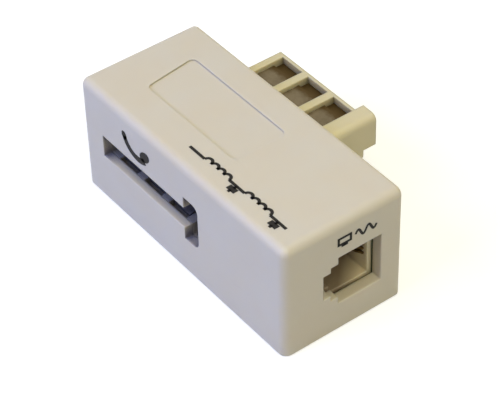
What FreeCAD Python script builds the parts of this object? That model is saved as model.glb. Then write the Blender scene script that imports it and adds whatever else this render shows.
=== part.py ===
import FreeCAD, Part
import Sketcher
import os
from types import SimpleNamespace

# In-line telephone and data line filter, in millimetres.
# The case stands on its base: X runs along the case, +X to the modular jack, -Y to the T-slot
# socket, +Y to the T plug, and +Z is up. The origin is the middle of the base.

CONTACT_COUNT = 3
WIRE_COUNT = 4
FULL_TURN = 360
QUARTER_TURN = 90
TOLERANCE = 1e-4

DRIVING_SIZES = [
    # case and cover
    ("case_wall", 2.2, "wall of the case at its ends, top and base"),
    ("front_wall", 1.7, "wall of the case round the T slot"),
    ("edge_round", 1.6, "radius of the top and front edges"),
    ("back_round", 1.0, "radius of the edges round the back"),
    ("foot_round", 0.5, "radius of the edges round the base"),
    ("cover_rim", 1.6, "rim of the case left outside the cover"),
    ("cover_thickness", 2.0, "thickness of the cover plate"),
    ("fit_gap", 0.1, "clearance between pieces that seat in one another"),
    ("label_start", 8.2, "left end of the case to the label recess at its rear corner"),
    ("label_slant", 1.5, "how far the recess's left edge leans over its width"),
    ("label_length", 26.5, "length of the label recess along its rear edge"),
    ("label_width", 11.0, "width of the label recess"),
    ("label_front", 7.7, "front face to the label recess"),
    ("label_depth", 0.35, "depth of the label recess"),
    ("label_round", 1.2, "corner radius of the label recess"),
    # T slot of the socket
    ("socket_gap", 2.55, "left end wall of the case to the socket body"),
    ("slot_margin", 2.4, "end of the T slot to the first spring's groove"),
    ("bar_margin", 1.8, "last spring's groove to the T's bar"),
    ("slot_width", 4.6, "height of the T slot's stem"),
    ("bar_width", 4.0, "thickness of the T's bar along the case"),
    ("bar_height", 9.4, "height of the T's bar"),
    ("bar_round", 1.5, "radius of the bar's outer corners"),
    ("slot_depth", 14.4, "front face to the bottom of the T slot"),
    ("socket_wall", 1.5, "wall of the socket body round the slot"),
    # contacts shared by the socket and the plug
    ("contact_width", 5.2, "width of a plug blade, and of the spring's groove that it meets"),
    ("contact_rib", 2.1, "rib between two grooves"),
    ("groove_depth", 1.3, "depth of a spring's groove in the socket body"),
    ("spring_gap", 0.3, "clearance on each side of a spring in its groove"),
    ("spring_sheet", 0.3, "sheet thickness of a socket spring"),
    ("spring_rise", 2.5, "height of a spring's crest above its groove"),
    ("spring_tip", 0.9, "length from the front wall to a spring's tip"),
    ("tip_rise", 0.9, "height of a spring's tip above its groove"),
    ("spring_slope", 4.4, "length of a spring's slope from its tip to its crest"),
    ("spring_crest", 1.2, "length of a spring's flat crest"),
    ("spring_fall", 3.6, "length of a spring's slope from its crest to its groove"),
    ("tail_width", 1.2, "width of a soldered tail"),
    ("tail_proud", 0.6, "length of a tail beyond the board"),
    # T plug
    ("plug_length", 14.0, "back face to the plug's tip"),
    ("plug_gap", 0.2, "how much smaller the plug is than the slot on each side"),
    ("plug_short", 0.7, "how much shorter the plug's stem is than the slot"),
    ("wing_setback", 2.8, "how far the bar's lower wing stops short of the tip"),
    ("plug_round", 1.3, "radius of the plug bar's outer corners"),
    ("blade_gap", 0.225, "clearance on each side of a blade in its window"),
    ("window_start", 1.5, "cover face to a contact window"),
    ("tip_bar", 0.65, "thickness of the plug's tip past the windows"),
    ("well_length", 2.6, "length of the deeper well at a window's tip end"),
    ("well_depth", 0.6, "extra depth of that well"),
    ("core_sheet", 0.8, "thickness of the plug's core between opposite wells"),
    ("blade_sheet", 0.35, "sheet thickness of a plug blade"),
    # modular jack
    ("jack_drop", 1.0, "how far the jack's middle line lies below the T slot's"),
    ("jack_width", 10.4, "height of the jack window at its contact side"),
    ("jack_deep", 9.2, "jack window from its contact side to the latch steps"),
    ("latch_one_width", 7.5, "height of the window's first latch step"),
    ("latch_two_width", 5.3, "height of the window's second latch step"),
    ("latch_step", 1.55, "depth of each latch step"),
    ("jack_gap", 0.6, "end wall of the case to the jack's face"),
    ("jack_inset", 0.2, "how much smaller the jack's cavity is than the window"),
    ("jack_lip", 0.7, "contact side of the window to that of the jack's cavity"),
    ("jack_wall", 0.9, "wall of the jack"),
    ("jack_length", 11.5, "length of the jack along the case"),
    ("jack_rear", 1.3, "wall behind the jack's cavity"),
    ("wire_pitch", 1.02, "distance between the jack's contact wires"),
    ("wire_size", 0.4, "thickness of a contact wire"),
    ("wire_reach", 2.9, "how far a contact wire springs into the cavity"),
    ("wire_end", 3.0, "rear of a contact wire to its free end in the cavity"),
    # board and the parts on it
    ("board_sheet", 1.2, "thickness of the circuit board"),
    ("board_space", 1.1, "cover plate to the board"),
    ("board_gap", 0.3, "clearance round the board"),
    ("post_size", 2.6, "side of the posts that hold the board"),
    ("hook_width", 6.0, "width of a snap hook on the cover"),
    ("hook_sheet", 1.1, "thickness of a snap hook"),
    ("hook_length", 6.0, "length of a snap hook past the cover plate"),
    ("hook_barb", 0.6, "height of a snap hook's barb"),
    ("barb_length", 1.4, "length of a snap hook's barb"),
    ("hook_gap", 1.2, "first capacitor to the snap hook beside it"),
    ("parts_gap", 0.5, "back of the socket body to the parts on the board"),
    ("choke_gap", 0.725, "clearance on each side of the chokes, to the socket body and the jack"),
    ("choke_diameter", 6.0, "diameter of a choke's ferrite drum"),
    ("choke_neck", 2.8, "diameter of the drum's neck"),
    ("choke_length", 8.0, "length of a choke's drum"),
    ("choke_flange", 1.0, "thickness of each flange of the drum"),
    ("choke_base", 1.0, "thickness of a choke's base"),
    ("choke_spacing", 9.6, "distance between the two chokes"),
    ("winding_diameter", 5.2, "outside diameter of a choke's winding"),
    ("capacitor_length", 7.2, "length of a film capacitor"),
    ("capacitor_width", 4.2, "width of a film capacitor"),
    ("capacitor_height", 4.3, "height of a film capacitor above the board"),
    ("capacitor_round", 0.3, "radius of a film capacitor's long edges"),
    ("capacitor_gap", 0.8, "base wall of the case to a film capacitor"),
    ("resistor_diameter", 2.0, "diameter of a resistor"),
    ("resistor_length", 6.0, "length of a resistor"),
    ("resistor_space", 1.3, "end of one resistor to the next"),
    ("resistor_gap", 2.2, "resistor to the top wall of the case"),
]


class Size:
    """A length that carries both its value and the expression that ties it to the sheet."""

    def __init__(self, value, text):
        self.value = value
        self.text = text

    def __add__(self, other):
        other = as_size(other)
        return Size(self.value + other.value, "(" + self.text + " + " + other.text + ")")

    def __sub__(self, other):
        other = as_size(other)
        return Size(self.value - other.value, "(" + self.text + " - " + other.text + ")")

    def __mul__(self, factor):
        return Size(self.value * factor, "(" + self.text + " * " + str(factor) + ")")

    def __truediv__(self, divisor):
        return Size(self.value / divisor, "(" + self.text + " / " + str(divisor) + ")")

    def __neg__(self):
        return Size(-self.value, "(-1 * " + self.text + ")")


def as_size(number):
    return number if isinstance(number, Size) else Size(float(number), str(number))


doc = FreeCAD.newDocument("LineFilter")
sheet = doc.addObject("Spreadsheet::Sheet", "Sizes")


def fill_sheet():
    """Write one row a size, and hand the sizes back by name."""
    found = {}
    for row, (name, value, meaning) in enumerate(DRIVING_SIZES, start=1):
        sheet.set("A" + str(row), meaning)
        sheet.set("B" + str(row), str(value))
        sheet.setAlias("B" + str(row), name)
        found[name] = Size(value, "Sizes." + name)
    doc.recompute()
    return SimpleNamespace(**found)


size = fill_sheet()
ZERO = as_size(0)

# Contacts, the same in the socket and on the plug
contact_pitch = size.contact_width + size.contact_rib
contact_span = contact_pitch * (CONTACT_COUNT - 1)
spring_width = size.contact_width - size.spring_gap * 2
window_width = size.contact_width + size.blade_gap * 2

# Levels above and below the T's middle line
spring_floor = size.slot_width / 2 + size.groove_depth
socket_reach = spring_floor + size.socket_wall
plug_half = size.slot_width / 2 - size.plug_gap
blade_floor = size.core_sheet / 2 + size.well_depth
window_depth = plug_half - blade_floor

# The case is as long, deep and high as what it holds.
slot_length = (size.slot_margin + contact_span + size.contact_width
               + size.bar_margin + size.bar_width)
case_length = (size.case_wall * 2 + size.socket_gap + size.socket_wall * 2 + slot_length
               + size.choke_gap * 2 + size.choke_diameter + size.jack_length + size.jack_gap)
case_depth = (size.slot_depth + size.socket_wall + size.parts_gap + size.capacitor_height
              + size.board_sheet + size.board_space + size.cover_thickness)
capacitor_low = size.case_wall + size.capacitor_gap
tee_height = capacitor_low + size.capacitor_width + size.fit_gap + socket_reach
resistor_low = tee_height + socket_reach + size.fit_gap
case_height = resistor_low + size.resistor_diameter + size.resistor_gap + size.case_wall

# Places that several pieces share
half_length = case_length / 2
half_depth = case_depth / 2
front_inside = size.front_wall - half_depth
side_inside = half_length - size.case_wall
top_inside = case_height - size.case_wall
cover_inside = half_depth - size.cover_thickness
board_back = cover_inside - size.board_space
board_front = board_back - size.board_sheet
cavity_middle = case_height / 2

slot_left = size.socket_gap + size.socket_wall - side_inside
tee_end = slot_left + slot_length
bar_left = tee_end - size.bar_width
slot_bottom = size.slot_depth - half_depth
contact_first = slot_left + size.slot_margin + size.contact_width / 2
contact_middle = contact_first + contact_span / 2
hook_spread = size.capacitor_length / 2 + size.hook_gap + size.hook_width / 2 - contact_middle

jack_height = tee_height - size.jack_drop
jack_face = side_inside - size.jack_gap
jack_cavity = size.jack_length - size.jack_rear
jack_inner_side = board_front - size.jack_wall
jack_contact_side = jack_inner_side + size.jack_lip


# Building blocks

def new_body(label):
    body = doc.addObject("PartDesign::Body", label)
    body.Label = label
    return body


def origin_plane(body, role):
    for plane in body.Origin.OriginFeatures:
        if plane.Role == role:
            return plane
    raise ValueError("no plane " + role)


def pin(sketch, direction, point, length, label):
    """Hold one corner of an outline at a length from the sketch's origin."""
    if abs(length.value) < TOLERANCE:
        axis = -2 if direction == "DistanceX" else -1
        sketch.addConstraint(Sketcher.Constraint("PointOnObject", point, 1, axis))
        return
    if length.value > 0:
        ends = (-1, 1, point, 1)
    else:
        ends = (point, 1, -1, 1)
        length = -length
    index = sketch.addConstraint(Sketcher.Constraint(direction, *ends, length.value))
    sketch.renameConstraint(index, label)
    sketch.setExpression("Constraints." + label, length.text)


def new_sketch(body, name, role, height):
    """A sketch on one of the body's own planes, raised along the plane's normal."""
    sketch = body.newObject("Sketcher::SketchObject", name)
    sketch.AttachmentSupport = [(origin_plane(body, role), "")]
    sketch.MapMode = "FlatFace"
    sketch.setExpression("AttachmentOffset.Base.z", height.text)
    return sketch


def outline(body, name, role, height, corners):
    """A closed outline of straight sides through the given corners."""
    sketch = new_sketch(body, name, role, height)
    places = [FreeCAD.Vector(across.value, up.value, 0) for across, up in corners]
    last = len(corners) - 1
    for index, place in enumerate(places):
        following = places[0 if index == last else index + 1]
        sketch.addGeometry(Part.LineSegment(place, following), False)
    for index in range(len(corners)):
        following = 0 if index == last else index + 1
        sketch.addConstraint(Sketcher.Constraint("Coincident", index, 2, following, 1))
    for index, (across, up) in enumerate(corners):
        pin(sketch, "DistanceX", index, across, "across_" + str(index))
        pin(sketch, "DistanceY", index, up, "up_" + str(index))
    doc.recompute()
    return sketch


def rectangle(left, bottom, right, top):
    return [(left, bottom), (right, bottom), (right, top), (left, top)]


def grow(body, name, sketch, length, backwards=False):
    """Add a pad along the sketch's normal, or against it, and check that it added material."""
    before = body.Shape.Volume if body.Tip else 0.0
    feature = body.newObject("PartDesign::Pad", name)
    feature.Profile = sketch
    feature.Reversed = backwards
    feature.setExpression("Length", length.text)
    doc.recompute()
    if body.Shape.Volume <= before:
        raise ValueError(name + " adds nothing")
    return feature


def cut(body, name, sketch, length, backwards=False):
    """Cut a pocket along the sketch's normal, or against it, and check that it cut."""
    before = body.Shape.Volume
    feature = body.newObject("PartDesign::Pocket", name)
    feature.Profile = sketch
    feature.Reversed = not backwards
    feature.setExpression("Length", length.text)
    doc.recompute()
    if body.Shape.Volume >= before:
        raise ValueError(name + " cuts nothing")
    return feature


def repeat(body, name, feature, direction, step, count):
    """Repeat a feature in a row along one of the body's own axes."""
    pattern = body.newObject("PartDesign::LinearPattern", name)
    pattern.Originals = [feature]
    axis = [line for line in body.Origin.OriginFeatures if line.Role == direction][0]
    pattern.Direction = (axis, [""])
    pattern.Mode = "Spacing"
    pattern.setExpression("Offset", step.text)
    pattern.Occurrences = count
    body.Tip = pattern
    doc.recompute()
    return pattern


def along(edge, direction):
    """Whether an edge is a straight run along a direction."""
    run = edge.Vertexes[-1].Point.sub(edge.Vertexes[0].Point)
    straight = abs(run.Length - edge.Length) < TOLERANCE
    return straight and abs(abs(run.dot(direction)) - run.Length) < TOLERANCE


def pick(body, test):
    """Names of the edges that pass a test."""
    names = []
    for number, edge in enumerate(body.Shape.Edges, start=1):
        if not edge.Degenerated and test(edge):
            names.append("Edge" + str(number))
    return names


def round_off(body, name, test, radius):
    """Round the edges that pass a test."""
    names = pick(body, test)
    if not names:
        raise ValueError(name + " finds no edge")
    base = body.Tip
    feature = body.newObject("PartDesign::Fillet", name)
    feature.Base = (base, names)
    feature.setExpression("Radius", radius.text)
    doc.recompute()
    if feature.Shape.isNull():
        raise ValueError(name + " rounds nothing")
    return feature


X = FreeCAD.Vector(1, 0, 0)
Y = FreeCAD.Vector(0, 1, 0)
Z = FreeCAD.Vector(0, 0, 1)


def near(number, place):
    return abs(number - place.value) < TOLERANCE


def middle(edge):
    return edge.valueAt((edge.FirstParameter + edge.LastParameter) / 2)


# Outlines that pieces share

def tee_outline(spread, left, inner, right):
    """A T on its side: the stem from the left, and the bar between its inner and outer sides."""
    stem_half = size.slot_width / 2 + spread[0]
    bar_half = size.bar_height / 2 + spread[1]
    level = tee_height
    return [
        (left, level - stem_half),
        (inner, level - stem_half),
        (inner, level - bar_half),
        (right, level - bar_half),
        (right, level + bar_half),
        (inner, level + bar_half),
        (inner, level + stem_half),
        (left, level + stem_half),
    ]


def slot_outline():
    """The T slot itself, the same in the case and in the socket body."""
    return tee_outline((ZERO, ZERO), slot_left, bar_left, tee_end)


def jack_outline(inset, lip):
    """The jack's opening: the plug's space, and two latch steps towards the front of the case."""
    contact = jack_contact_side - lip
    first = jack_contact_side - size.jack_deep + inset
    second = first - size.latch_step
    third = second - size.latch_step
    wide = size.jack_width / 2 - inset
    one = size.latch_one_width / 2 - inset
    two = size.latch_two_width / 2 - inset
    level = jack_height
    return [
        (contact, level - wide),
        (contact, level + wide),
        (first, level + wide),
        (first, level + one),
        (second, level + one),
        (second, level + two),
        (third, level + two),
        (third, level - two),
        (second, level - two),
        (second, level - one),
        (first, level - one),
        (first, level - wide),
    ]


def hook_levels():
    """The inner face of the case that each row of hooks runs along, and the way into the case."""
    return [(size.case_wall, 1), (top_inside, -1)]


def corner_posts():
    """Name and lower left corner of each post in the case's four inner corners."""
    left = -side_inside
    right = side_inside - size.post_size
    high = top_inside - size.post_size
    return [
        ("left_low", left, size.case_wall),
        ("right_low", right, size.case_wall),
        ("left_high", left, high),
        ("right_high", right, high),
    ]


# Pieces

def make_outer_case():
    """The moulded case: open at the back, with the T slot, the jack window and a label recess."""
    case = new_body("outer_case")
    base = outline(case, "case_outline", "XY_Plane", ZERO,
                   rectangle(-half_length, -half_depth, half_length, half_depth))
    grow(case, "case_block", base, case_height)

    def soft_edge(edge):
        centre = middle(edge)
        upright = along(edge, Z) and near(centre.y, -half_depth)
        top = near(centre.z, case_height) and not near(centre.y, half_depth)
        return upright or top

    def back_edge(edge):
        centre = middle(edge)
        return near(centre.y, half_depth) and not near(centre.z, ZERO)

    def foot_edge(edge):
        return near(middle(edge).z, ZERO)

    round_off(case, "soft_edges", soft_edge, size.edge_round)
    round_off(case, "back_edges", back_edge, size.back_round)
    round_off(case, "foot_edges", foot_edge, size.foot_round)

    inside = outline(case, "inside_outline", "XZ_Plane", -half_depth,
                     rectangle(-side_inside, size.case_wall, side_inside, top_inside))
    cut(case, "inside", inside, case_depth - size.front_wall)
    rim = size.cover_rim
    seat = outline(case, "cover_seat_outline", "XZ_Plane", -half_depth,
                   rectangle(rim - half_length, rim, half_length - rim, case_height - rim))
    cut(case, "cover_seat", seat, size.cover_thickness)

    for label, left, low in corner_posts():
        post = outline(case, "post_outline_" + label, "XZ_Plane", -front_inside,
                       rectangle(left, low, left + size.post_size, low + size.post_size))
        grow(case, "post_" + label, post, board_front - front_inside, True)

    slot = outline(case, "slot_outline", "XZ_Plane", half_depth, slot_outline())
    cut(case, "slot", slot, size.front_wall, True)

    def bar_corner(edge):
        centre = middle(edge)
        inside_wall = near(centre.y, -half_depth + size.front_wall / 2)
        return along(edge, Y) and inside_wall and near(centre.x, tee_end)

    round_off(case, "slot_corners", bar_corner, size.bar_round)

    window = outline(case, "jack_window_outline", "YZ_Plane", half_length, jack_outline(ZERO, ZERO))
    cut(case, "jack_window", window, size.case_wall, True)

    recess_left = size.label_start - half_length
    recess_front = size.label_front - half_depth
    recess_right = recess_left + size.label_length
    recess_back = recess_front + size.label_width
    recess = outline(case, "label_outline", "XY_Plane", case_height, [
        (recess_left + size.label_slant, recess_front),
        (recess_right, recess_front),
        (recess_right, recess_back),
        (recess_left, recess_back),
    ])
    cut(case, "label_recess", recess, size.label_depth, True)

    def recess_corner(edge):
        return along(edge, Z) and near(middle(edge).z, case_height - size.label_depth / 2)

    round_off(case, "label_corners", recess_corner, size.label_round)

    catch_far = cover_inside - size.hook_length - size.fit_gap
    catch_reach = size.barb_length + size.fit_gap * 2
    for row, (wall, way) in enumerate(hook_levels()):
        deep = wall - (size.hook_barb + size.fit_gap) * way
        low, high = (deep, wall) if way > 0 else (wall, deep)
        for side in (-1, 1):
            centre = hook_spread * side
            half = size.hook_width / 2 + size.fit_gap
            name = "catch_" + str(row) + ("_left" if side < 0 else "_right")
            catch = outline(case, name + "_outline", "XZ_Plane", -catch_far,
                            rectangle(centre - half, low, centre + half, high))
            cut(case, name, catch, catch_reach, True)
    return case


def make_back_cover():
    """The cover plate and the T plug in one moulding, with windows for the plug's blades."""
    cover = new_body("back_cover")
    edge = size.cover_rim + size.fit_gap
    plate = outline(cover, "plate_outline", "XZ_Plane", -half_depth,
                    rectangle(edge - half_length, edge, half_length - edge,
                              case_height - edge))
    grow(cover, "plate", plate, size.cover_thickness)

    bar_half = size.bar_height / 2 - size.plug_gap
    inner = bar_left + size.plug_gap
    outer = tee_end - size.plug_gap
    left = slot_left + size.plug_short
    level = tee_height
    stem = outline(cover, "plug_outline", "XZ_Plane", -half_depth, [
        (left, level - plug_half),
        (outer, level - plug_half),
        (outer, level + bar_half),
        (inner, level + bar_half),
        (inner, level + plug_half),
        (left, level + plug_half),
    ])
    grow(cover, "plug", stem, size.plug_length, True)
    wing = outline(cover, "lower_wing_outline", "XZ_Plane", -half_depth,
                   rectangle(inner, level - bar_half, outer, level - plug_half / 2))
    grow(cover, "lower_wing", wing, size.plug_length - size.wing_setback, True)

    def wing_corner(edge_found):
        centre = middle(edge_found)
        upper = near(centre.z, level + bar_half)
        lower = near(centre.z, level - bar_half)
        return along(edge_found, Y) and near(centre.x, outer) and (upper or lower)

    round_off(cover, "wing_corners", wing_corner, size.plug_round)

    tip = half_depth + size.plug_length
    window_near = half_depth + size.window_start
    window_far = tip - size.tip_bar
    left_side = contact_first - window_width / 2
    right_side = contact_first + window_width / 2
    for label, face, way in (("upper", level + plug_half, -1), ("lower", level - plug_half, 1)):
        window = outline(cover, label + "_window_outline", "XY_Plane", face,
                         rectangle(left_side, window_near, right_side, window_far))
        opening = cut(cover, label + "_window", window, window_depth, way < 0)
        repeat(cover, label + "_windows", opening, "X_Axis", contact_pitch, CONTACT_COUNT)
        floor = face + window_depth * way
        well = outline(cover, label + "_well_outline", "XY_Plane", floor,
                       rectangle(left_side, window_far - size.well_length,
                                 right_side, window_far))
        hollow = cut(cover, label + "_well", well, size.well_depth, way < 0)
        repeat(cover, label + "_wells", hollow, "X_Axis", contact_pitch, CONTACT_COUNT)
        tail_half = size.tail_width / 2 + size.fit_gap
        far_side = floor - (size.blade_sheet + size.fit_gap) * way
        low, high = (floor, far_side) if way < 0 else (far_side, floor)
        passage = outline(cover, label + "_passage_outline", "XZ_Plane", -cover_inside,
                          rectangle(contact_first - tail_half, low,
                                    contact_first + tail_half, high))
        slit = cut(cover, label + "_passage", passage, window_near - cover_inside, True)
        repeat(cover, label + "_passages", slit, "X_Axis", contact_pitch, CONTACT_COUNT)

    for side in (-1, 1):
        for row, (wall, way) in enumerate(hook_levels()):
            name = "hook_" + str(row) + ("_left" if side < 0 else "_right")
            inner_face = wall + (size.fit_gap + size.hook_sheet) * way
            outer_face = wall + size.fit_gap * way
            low, high = (outer_face, inner_face) if way > 0 else (inner_face, outer_face)
            centre = hook_spread * side
            half_hook = size.hook_width / 2
            arm = outline(cover, name + "_outline", "XZ_Plane", -cover_inside,
                          rectangle(centre - half_hook, low, centre + half_hook, high))
            grow(cover, name, arm, size.hook_length)
            barb_start = cover_inside - size.hook_length
            barb_top = outer_face - size.hook_barb * way
            barb = outline(cover, name + "_barb_outline", "YZ_Plane", centre - half_hook, [
                (barb_start, outer_face),
                (barb_start + size.barb_length, barb_top),
                (barb_start + size.barb_length, inner_face),
                (barb_start, inner_face),
            ])
            grow(cover, name + "_barb", barb, size.hook_width)

    inset = size.board_gap + size.fit_gap
    for label, left_edge, low_edge in corner_posts():
        seat = outline(cover, "stop_outline_" + label, "XZ_Plane", -cover_inside,
                       rectangle(left_edge + inset, low_edge + inset,
                                 left_edge + size.post_size - inset,
                                 low_edge + size.post_size - inset))
        grow(cover, "stop_" + label, seat, size.board_space)
    return cover


def make_socket_body():
    """The moulding behind the T slot, with grooves for six contact springs."""
    socket = new_body("socket_body")
    wall = size.socket_wall
    level = tee_height
    spread = (size.groove_depth + wall, wall)
    shell = outline(socket, "socket_outline", "XZ_Plane", -front_inside,
                    tee_outline(spread, slot_left - wall, bar_left - wall, tee_end + wall))
    grow(socket, "socket_block", shell, slot_bottom + wall - front_inside, True)
    slot = outline(socket, "tee_outline", "XZ_Plane", -front_inside, slot_outline())
    cut(socket, "tee", slot, slot_bottom - front_inside, True)

    def bar_corner(edge):
        centre = middle(edge)
        return along(edge, Y) and near(centre.x, tee_end)

    round_off(socket, "tee_corners", bar_corner, size.bar_round)

    half = size.contact_width / 2
    stem_half = size.slot_width / 2
    for label, low, high in (("lower", level - spring_floor, level - stem_half),
                             ("upper", level + stem_half, level + spring_floor)):
        groove = outline(socket, label + "_groove_outline", "XZ_Plane", -front_inside,
                         rectangle(contact_first - half, low, contact_first + half, high))
        channel = cut(socket, label + "_groove", groove, slot_bottom + wall - front_inside, True)
        repeat(socket, label + "_grooves", channel, "X_Axis", contact_pitch, CONTACT_COUNT)
    return socket


def make_spring(label, column, way):
    """A bent contact spring in its groove, with a tail to the board; way is up or down."""
    spring = new_body(label)
    floor = tee_height - spring_floor * way
    sheet_up = size.spring_sheet * way
    tip = front_inside + size.spring_tip
    crest_start = tip + size.spring_slope
    crest_end = crest_start + size.spring_crest
    heel = crest_end + size.spring_fall
    tail_end = board_back + size.tail_proud
    crest = floor + size.spring_rise * way
    tip_level = floor + size.tip_rise * way
    side = outline(spring, "side_outline", "YZ_Plane", -spring_width / 2, [
        (tip, tip_level),
        (crest_start, crest),
        (crest_end, crest),
        (heel, floor),
        (tail_end, floor),
        (tail_end, floor + sheet_up),
        (heel + size.spring_sheet / 2, floor + sheet_up),
        (crest_end, crest + sheet_up),
        (crest_start, crest + sheet_up),
        (tip, tip_level + sheet_up),
    ])
    grow(spring, "strip", side, spring_width)
    narrow_from = slot_bottom + size.socket_wall + size.tail_width
    waste = spring_width
    for side_name, left, right in (("left", -waste, -size.tail_width / 2),
                                   ("right", size.tail_width / 2, waste)):
        trim = outline(spring, "trim_outline_" + side_name, "XY_Plane", floor - size.spring_rise,
                       rectangle(left, narrow_from, right, tail_end + waste))
        cut(spring, "trim_" + side_name, trim, size.spring_rise * 2)
    place = contact_middle + contact_pitch * column
    spring.setExpression("Placement.Base.x", place.text)
    return spring


def make_blade(label, column, way):
    """A plug blade on its window floor, stepping down into the well, with a tail to the board."""
    blade = new_body(label)
    floor = tee_height + blade_floor * way
    sheet_up = size.blade_sheet * way
    well_floor = floor - size.well_depth * way
    tip = half_depth + size.plug_length - size.tip_bar - size.fit_gap
    well_near = half_depth + size.plug_length - size.tip_bar - size.well_length
    start = board_front - size.tail_proud
    ramp = size.blade_sheet
    side = outline(blade, "side_outline", "YZ_Plane", -size.contact_width / 2, [
        (start, floor),
        (well_near, floor),
        (well_near + ramp, well_floor),
        (tip, well_floor),
        (tip, well_floor + sheet_up),
        (well_near + ramp * 2, well_floor + sheet_up),
        (well_near + ramp, floor + sheet_up),
        (start, floor + sheet_up),
    ])
    grow(blade, "strip", side, size.contact_width)
    narrow_to = half_depth + size.window_start + size.fit_gap
    waste = size.contact_width
    for side_name, left, right in (("left", -waste, -size.tail_width / 2),
                                   ("right", size.tail_width / 2, waste)):
        trim = outline(blade, "trim_outline_" + side_name, "XY_Plane", floor - window_depth,
                       rectangle(left, start - waste, right, narrow_to))
        cut(blade, "trim_" + side_name, trim, window_depth * 2)
    place = contact_middle + contact_pitch * column
    blade.setExpression("Placement.Base.x", place.text)
    return blade


def wire_levels():
    """Height of each contact wire, spread evenly about the jack's middle line."""
    lowest = jack_height - size.wire_pitch * (WIRE_COUNT - 1) / 2
    return [lowest + size.wire_pitch * number for number in range(WIRE_COUNT)]


def make_jack_body():
    """The modular jack on its side: latch steps to the front of the case, wires to the board."""
    jack = new_body("jack_body")
    front = jack_contact_side - size.jack_deep - size.latch_step * 2 + size.jack_inset
    half = size.jack_width / 2 - size.jack_inset + size.jack_wall
    shell = outline(jack, "jack_outline", "YZ_Plane", jack_face,
                    rectangle(front - size.jack_wall, jack_height - half,
                              board_front, jack_height + half))
    grow(jack, "jack_block", shell, size.jack_length, True)
    opening = outline(jack, "cavity_outline", "YZ_Plane", jack_face,
                      jack_outline(size.jack_inset, size.jack_lip))
    cut(jack, "cavity", opening, jack_cavity, True)
    slot_half = size.wire_size / 2 + size.fit_gap
    rear = jack_face - jack_cavity
    for number, level in enumerate(wire_levels()):
        groove = outline(jack, "groove_outline_" + str(number), "XY_Plane", level - slot_half,
                         rectangle(rear, jack_inner_side, jack_face - size.jack_wall,
                                   jack_inner_side + size.wire_size + size.fit_gap))
        cut(jack, "groove_" + str(number), groove, slot_half * 2)
        exit_hole = outline(jack, "exit_outline_" + str(number), "XY_Plane", level - slot_half,
                            rectangle(rear, jack_inner_side,
                                      rear + size.wire_size + size.fit_gap * 2, board_front))
        cut(jack, "exit_" + str(number), exit_hole, slot_half * 2)
    return jack


def make_wire(label, level):
    """A jack contact wire: up from the board, forwards in its groove and back into the cavity."""
    wire = new_body(label)
    thick = size.wire_size
    side = jack_inner_side
    rear = jack_face - jack_cavity + size.fit_gap
    nose = jack_face - size.jack_wall - size.fit_gap
    tail = board_back + size.tail_proud
    free_end = rear + size.wire_end
    path = outline(wire, "wire_outline", "XY_Plane", -thick / 2, [
        (rear, tail),
        (rear, side),
        (nose - thick * 2, side),
        (free_end, side - size.wire_reach),
        (free_end, side - size.wire_reach - thick),
        (nose, side - thick / 2),
        (nose, side + thick),
        (rear + thick, side + thick),
        (rear + thick, tail),
    ])
    grow(wire, "strip", path, thick)
    wire.setExpression("Placement.Base.z", level.text)
    return wire


def make_circuit_board():
    """The board between the case's posts and the cover's stops, with holes for every tail."""
    board = new_body("circuit_board")
    gap = size.board_gap
    left = gap - side_inside
    right = side_inside - gap
    low = size.case_wall + gap
    high = top_inside - gap
    notch_half = size.hook_width / 2 + gap
    notch = size.fit_gap + size.hook_sheet
    lower = []
    upper = []
    for side in (-1, 1):
        centre = hook_spread * side
        lower += [(centre - notch_half, low), (centre - notch_half, low + notch),
                  (centre + notch_half, low + notch), (centre + notch_half, low)]
        upper += [(centre - notch_half, high), (centre - notch_half, high - notch),
                  (centre + notch_half, high - notch), (centre + notch_half, high)]
    corners = [(left, low)] + lower + [(right, low), (right, high)] + upper[::-1] + [(left, high)]
    sheet_outline = outline(board, "board_outline", "XZ_Plane", -board_back, corners)
    grow(board, "board_sheet", sheet_outline, size.board_sheet)

    half = size.tail_width / 2 + size.fit_gap
    level = tee_height
    rows = (
        ("spring_low", level - spring_floor, level - spring_floor + size.spring_sheet),
        ("blade_low", level - blade_floor - size.blade_sheet, level - blade_floor),
        ("blade_high", level + blade_floor, level + blade_floor + size.blade_sheet),
        ("spring_high", level + spring_floor - size.spring_sheet, level + spring_floor),
    )
    for name, bottom, top in rows:
        hole = outline(board, name + "_outline", "XZ_Plane", -board_back,
                       rectangle(contact_first - half, bottom - size.fit_gap,
                                 contact_first + half, top + size.fit_gap))
        slit = cut(board, name + "_hole", hole, size.board_sheet)
        repeat(board, name + "_holes", slit, "X_Axis", contact_pitch, CONTACT_COUNT)
    rear = jack_face - jack_cavity
    for number, wire_level in enumerate(wire_levels()):
        reach = size.wire_size / 2 + size.fit_gap
        hole = outline(board, "wire_outline_" + str(number), "XZ_Plane", -board_back,
                       rectangle(rear, wire_level - reach,
                                 rear + size.wire_size + size.fit_gap * 2, wire_level + reach))
        cut(board, "wire_hole_" + str(number), hole, size.board_sheet)
    return board


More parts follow.
